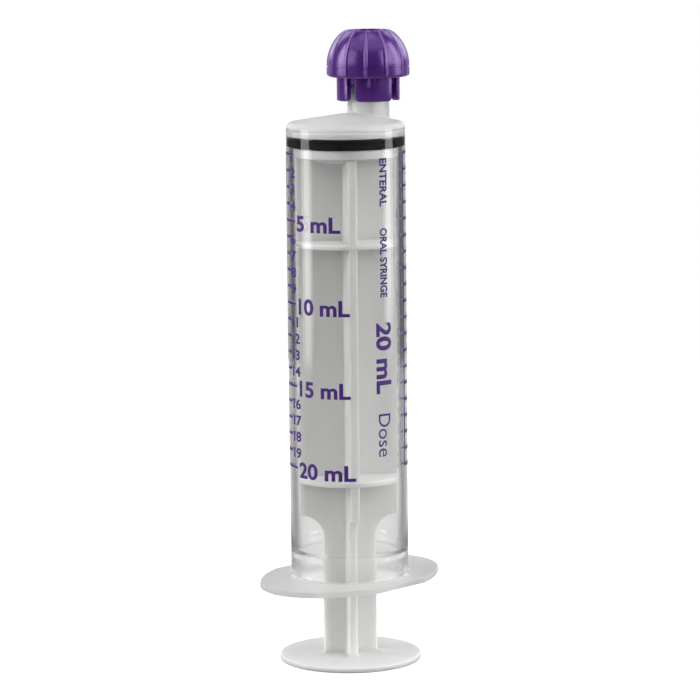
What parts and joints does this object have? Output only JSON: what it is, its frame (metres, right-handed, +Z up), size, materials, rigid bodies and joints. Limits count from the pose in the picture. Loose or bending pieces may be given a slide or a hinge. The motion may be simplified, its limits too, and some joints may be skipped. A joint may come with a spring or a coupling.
{
  "type": "oral syringe",
  "caption": "Clear graduated oral syringe with an oval finger flange, an off-centre tip under a ribbed purple cap, and a cross-ribbed plunger sealed by a black O-ring.",
  "frame": {"origin": "on the barrel's axis, at the underside of the thumb disc", "axes": "+Z up the barrel's axis from the thumb disc towards the tip, +X along the finger flange towards the side where the tip stands"},
  "size_m": [0.04, 0.0272, 0.1206],
  "materials": {
    "clear_barrel": "clear polypropylene, polished tube and lightly frosted flange",
    "scale_ink": "purple pad-printed ink",
    "milky_plunger": "natural milky polypropylene, satin",
    "black_seal": "black silicone-lubricated rubber, semi-gloss",
    "purple_cap": "purple polypropylene, satin gloss"
  },
  "bodies": {
    "barrel": {"barrel": "clear_barrel", "scale_lines": "scale_ink"},
    "seal": {"seal_ring": "black_seal"},
    "plunger": {"plunger_rod": "milky_plunger"},
    "cap": {"tip_cap": "purple_cap"}
  },
  "joints": [
    {"name": "plunger_slide", "type": "slide", "parent": "barrel", "child": "seal", "axis": [0, 0, -1], "range_m": [0, 0.0745]},
    {"name": "plunger_spin", "type": "hinge", "parent": "seal", "child": "plunger", "pos_m": [0, 0, 0], "axis": [0, 0, 1], "continuous": true},
    {"name": "cap_lift", "type": "slide", "parent": "barrel", "child": "cap", "axis": [0, 0, 1], "range_m": [0, 0.03]}
  ]
}
